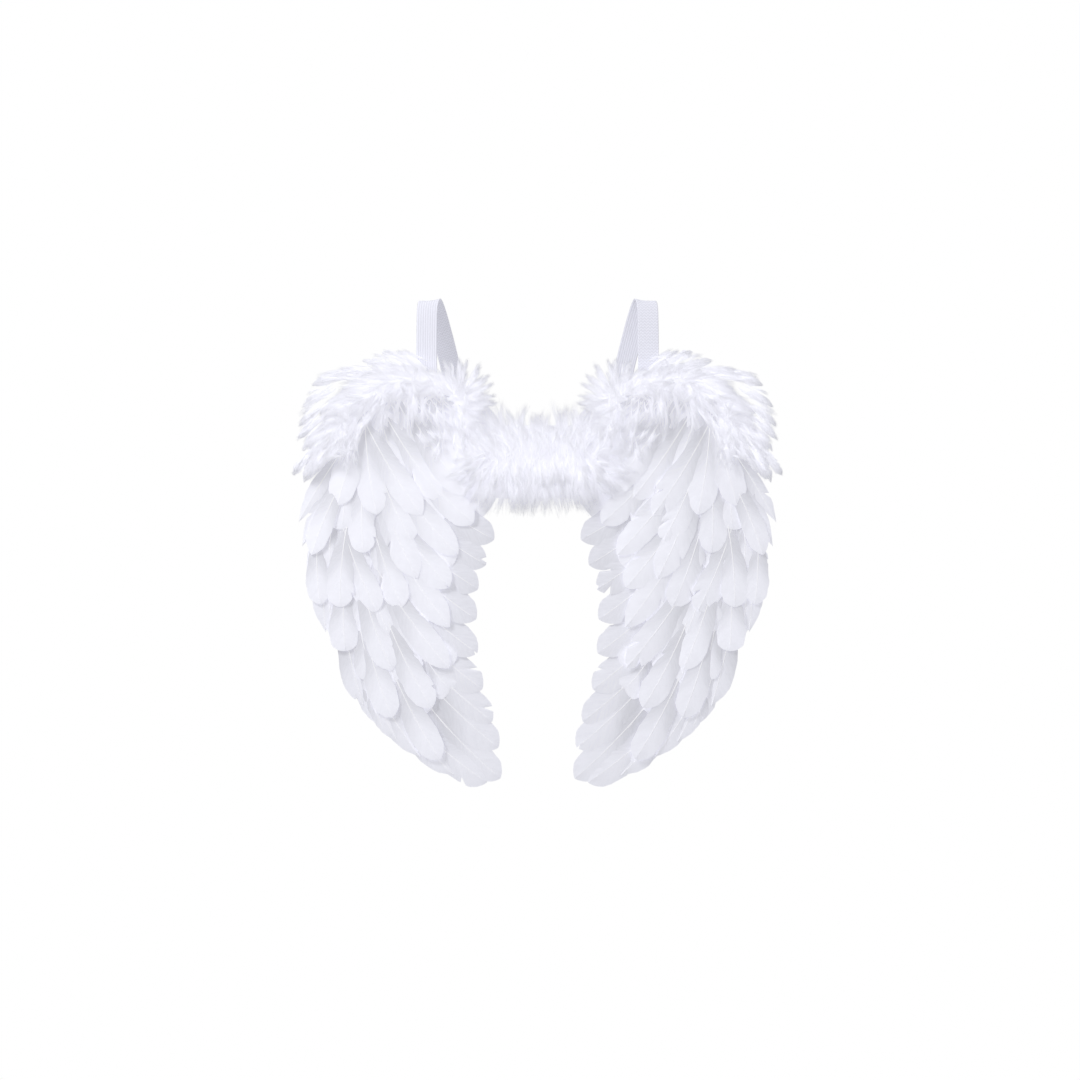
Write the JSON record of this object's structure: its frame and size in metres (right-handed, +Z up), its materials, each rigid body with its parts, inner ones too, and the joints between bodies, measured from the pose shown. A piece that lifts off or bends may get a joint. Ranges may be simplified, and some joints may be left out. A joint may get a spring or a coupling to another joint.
{
  "type": "costume angel wings",
  "caption": "Pair of white feathered costume wings on felt panels, with marabou over the shoulders and the join, and elastic arm loops to wear them on the back.",
  "frame": {"origin": "on the back face of the felt bridge, in the middle between the wearer's shoulder blades", "axes": "+X to the right of someone who looks at the feathered face, +Y towards the wearer, +Z up"},
  "size_m": [0.4714, 0.1316, 0.4701],
  "materials": {
    "feather": "soft satin white feather vanes with pale shafts",
    "marabou": "fluffy matt white down",
    "felt": "matt white stiffened felt",
    "elastic": "ribbed woven white elastic"
  },
  "bodies": {
    "root": {"bridge_panel": "felt", "left_wing_panel": "felt", "left_flight_feathers": "feather", "left_covert_row_1": "feather", "left_covert_row_2": "feather", "left_covert_row_3": "feather", "left_covert_row_4": "feather", "left_covert_row_5": "feather", "left_covert_row_6": "feather", "left_shoulder_marabou": "marabou", "left_crest_marabou": "marabou", "left_shoulder_strap": "elastic", "right_wing_panel": "felt", "right_flight_feathers": "feather", "right_covert_row_1": "feather", "right_covert_row_2": "feather", "right_covert_row_3": "feather", "right_covert_row_4": "feather", "right_covert_row_5": "feather", "right_covert_row_6": "feather", "right_shoulder_marabou": "marabou", "right_crest_marabou": "marabou", "right_shoulder_strap": "elastic", "upper_center_marabou": "marabou", "lower_center_marabou": "marabou"}
  },
  "joints": []
}
